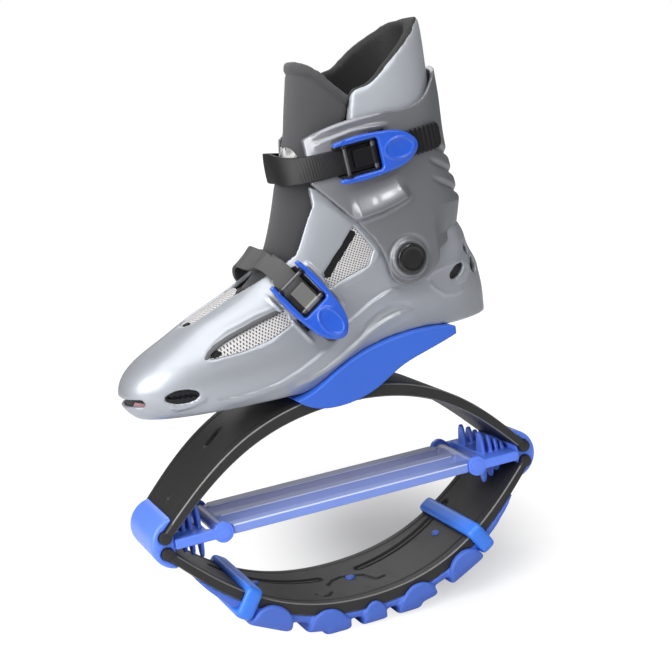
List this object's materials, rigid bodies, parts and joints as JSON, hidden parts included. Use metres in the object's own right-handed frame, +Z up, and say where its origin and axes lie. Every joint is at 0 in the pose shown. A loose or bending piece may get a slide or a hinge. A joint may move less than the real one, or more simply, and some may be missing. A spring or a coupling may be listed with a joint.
{
  "type": "rebound boot",
  "caption": "Left rebound jumping boot: hinged plastic skate-style boot with two ratchet buckles on a pair of leaf springs with a tension spring and rubber tread.",
  "frame": {"origin": "on the floor under the middle of the two leaf springs, on the plane halfway between their ends; the tread's flat pads lie at z = 0", "axes": "+Z up, -X to the toe and +X to the heel, -Y to the outer side of the left foot where the two buckles are"},
  "size_m": [0.354, 0.1203, 0.4953],
  "materials": {
    "carbon_plastic": "satin, dark charcoal glass-filled plastic",
    "tread_rubber": "matte royal blue rubber",
    "cap_plastic": "semi-gloss bright blue plastic",
    "spring_rubber": "satin light blue elastomer",
    "steel": "plain zinc-plated steel",
    "wing_plastic": "satin blue plastic",
    "shell_silver": "silver metallic painted plastic, semi-gloss",
    "cuff_grey": "mid grey plastic, semi-gloss",
    "mesh_fabric": "light grey mesh",
    "liner_fabric": "dark woven padded liner",
    "tongue_fabric": "dark grey padded tongue",
    "insole_foam": "dusky pink foam insole",
    "strap_plastic": "soft black ribbed strap",
    "lower_strap_plastic": "dark grey ribbed strap",
    "buckle_black": "black plastic",
    "lever_blue": "semi-gloss blue plastic"
  },
  "bodies": {
    "tread_base": {"lower_leaf_spring": "carbon_plastic", "tread": "tread_rubber", "tread_plugs": "tread_rubber", "front_tread_band": "tread_rubber", "rear_tread_band": "tread_rubber"},
    "tension_unit": {"upper_leaf_spring": "carbon_plastic", "front_end_cap": "cap_plastic", "rear_end_cap": "cap_plastic", "front_spring_link": "cap_plastic", "rear_spring_link": "cap_plastic", "tension_spring": "spring_rubber", "spring_link_pins": "steel"},
    "boot": {"saddle": "wing_plastic", "saddle_bolts": "steel", "saddle_washers": "steel", "sole_screws": "steel", "shell": "shell_silver", "toe_vents": "buckle_black", "outer_vamp_mesh": "mesh_fabric", "inner_vamp_mesh": "mesh_fabric", "top_mesh": "mesh_fabric", "outer_side_mesh": "mesh_fabric", "inner_side_mesh": "mesh_fabric", "liner_foot": "liner_fabric", "insole": "insole_foam", "tongue": "tongue_fabric", "pivot_rivets": "buckle_black", "pivot_washers": "buckle_black", "lower_strap": "lower_strap_plastic", "lower_strap_rivet": "steel", "lower_buckle_base": "buckle_black", "lower_buckle_rivets": "steel", "lower_lever_pin": "steel", "lower_pawl_pin": "steel", "lower_pawl_springs": "steel"},
    "cuff_body": {"cuff": "cuff_grey", "liner_collar": "liner_fabric", "upper_strap": "strap_plastic", "upper_strap_rivet": "steel", "upper_buckle_base": "buckle_black", "upper_buckle_rivets": "steel", "upper_lever_pin": "steel", "upper_pawl_pin": "steel", "upper_pawl_springs": "steel"},
    "upper_lever_body": {"upper_lever": "lever_blue"},
    "lower_lever_body": {"lower_lever": "lever_blue"},
    "upper_pawl_body": {"upper_pawl": "buckle_black"},
    "lower_pawl_body": {"lower_pawl": "buckle_black"}
  },
  "joints": [
    {"name": "rebound", "type": "slide", "parent": "tread_base", "child": "boot", "axis": [0, 0, 1], "range_m": [-0.05, 0], "stiffness_N_per_m": 20000, "deforming": ["upper_leaf_spring"]},
    {"name": "hinge_travel", "type": "slide", "parent": "tread_base", "child": "tension_unit", "axis": [0, 0, 1], "range_m": [-0.025, 0], "stiffness_N_per_m": 8000, "deforming": ["lower_leaf_spring", "tread", "tread_plugs", "front_tread_band", "rear_tread_band"]},
    {"name": "cuff_lean", "type": "hinge", "parent": "boot", "child": "cuff_body", "pos_m": [0.07, 0, 0.3037], "axis": [0, -1, 0], "range_deg": [-2, 10], "deforming": ["tongue"]},
    {"name": "upper_lever_hinge", "type": "hinge", "parent": "cuff_body", "child": "upper_lever_body", "pos_m": [0.02358, -0.05499, 0.3898], "axis": [0.105, -0.0053, -0.9945], "range_deg": [0, 75]},
    {"name": "upper_pawl_hinge", "type": "hinge", "parent": "cuff_body", "child": "upper_pawl_body", "pos_m": [0.0485, -0.05443, 0.39243], "axis": [-0.105, 0.0053, 0.9945], "range_deg": [0, 12], "stiffness_Nm_per_rad": 0.02},
    {"name": "lower_lever_hinge", "type": "hinge", "parent": "boot", "child": "lower_lever_body", "pos_m": [-0.03425, -0.0477, 0.30288], "axis": [-0.8246, -0.0395, -0.5643], "range_deg": [0, 75]},
    {"name": "lower_pawl_hinge", "type": "hinge", "parent": "boot", "child": "lower_pawl_body", "pos_m": [-0.02013, -0.05132, 0.28249], "axis": [0.8246, 0.0395, 0.5643], "range_deg": [0, 12], "stiffness_Nm_per_rad": 0.02}
  ],
  "couplings": [
    {"joint": "hinge_travel", "follows": "rebound", "ratio": 0.5}
  ]
}
